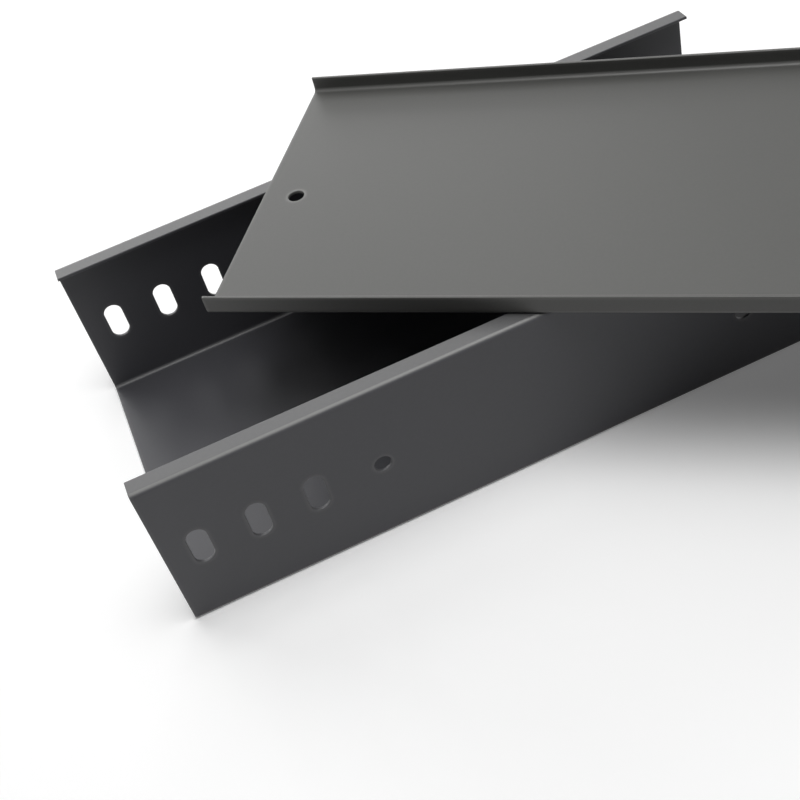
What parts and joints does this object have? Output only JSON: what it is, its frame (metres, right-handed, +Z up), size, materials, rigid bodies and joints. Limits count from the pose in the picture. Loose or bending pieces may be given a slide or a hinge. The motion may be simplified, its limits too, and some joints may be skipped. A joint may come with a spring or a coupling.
{
  "type": "cable trunking",
  "caption": "Sheet-steel cable trunking: a channel with inward lips and slotted side walls, and its flanged lid lying upside down across it, for carrying cables.",
  "frame": {"origin": "middle of the channel's underside", "axes": "+X along the channel, +Y from the near wall to the far wall, +Z up"},
  "size_m": [0.2652, 0.2068, 0.0557],
  "materials": {
    "channel_paint": "satin",
    "lid_paint": "satin"
  },
  "bodies": {
    "root": {"channel": "channel_paint", "lid": "lid_paint"}
  },
  "joints": []
}
